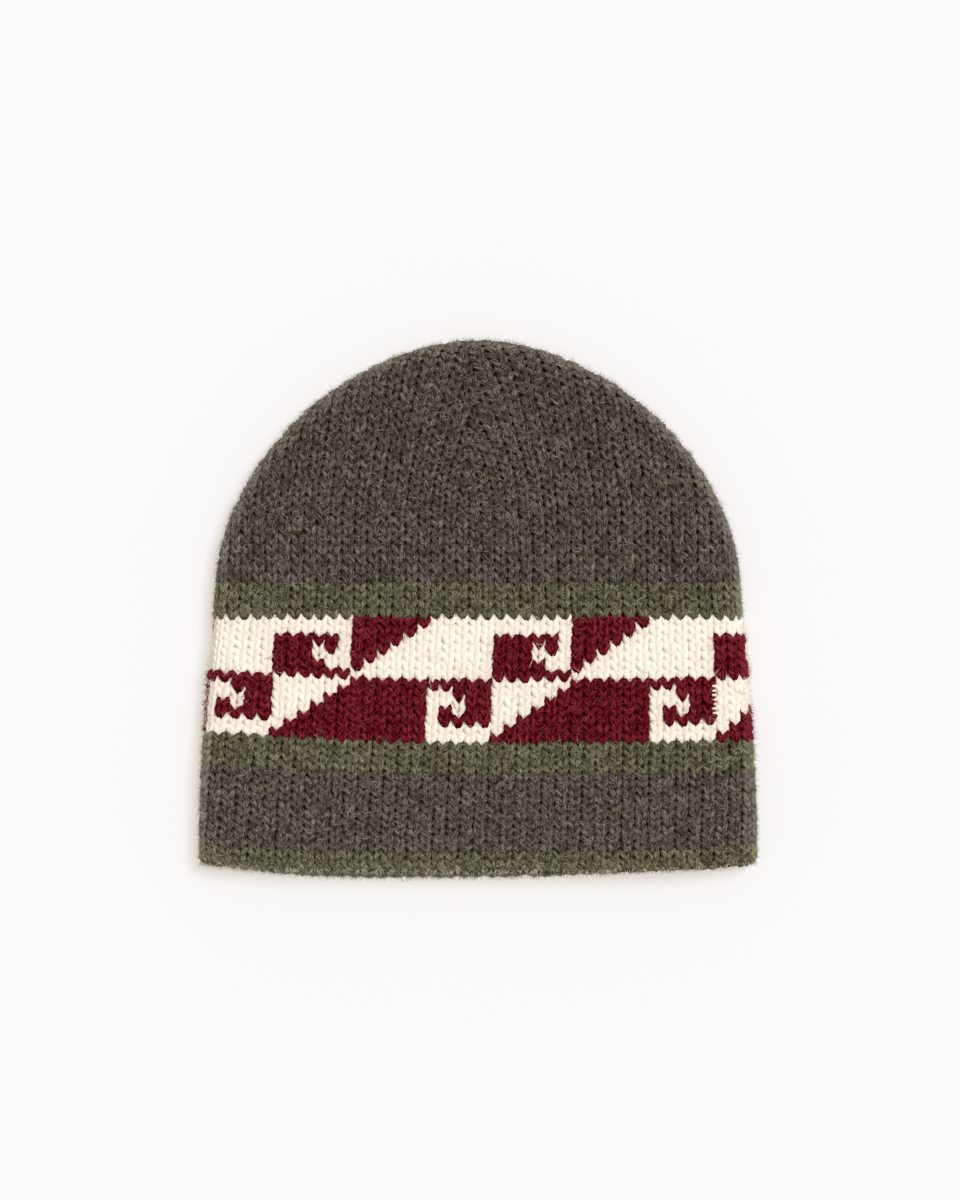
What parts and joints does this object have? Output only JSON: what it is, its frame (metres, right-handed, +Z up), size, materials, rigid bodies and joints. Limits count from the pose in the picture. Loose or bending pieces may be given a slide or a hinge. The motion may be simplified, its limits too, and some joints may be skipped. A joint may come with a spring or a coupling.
{
  "type": "knitted skullcap",
  "caption": "Close-fitting knitted wool cap lying flat: rounded crown, straight body, open mouth, and a stepped fret band between plain stripes.",
  "frame": {"origin": "on the ground, under the middle of the lying cap's box", "axes": "+Z up off the ground, +Y from the mouth to the crown's tip, +X across the mouth, to the right seen from above with the crown away"},
  "size_m": [0.23, 0.2214, 0.0155],
  "materials": {
    "charcoal_wool": "matt heathered knit, brown-charcoal",
    "olive_wool": "matt heathered knit, grey-olive",
    "cream_wool": "matt smooth knit, cream",
    "burgundy_wool": "matt smooth knit, burgundy"
  },
  "bodies": {
    "root": {"knit_cap": "charcoal_wool"}
  },
  "joints": []
}
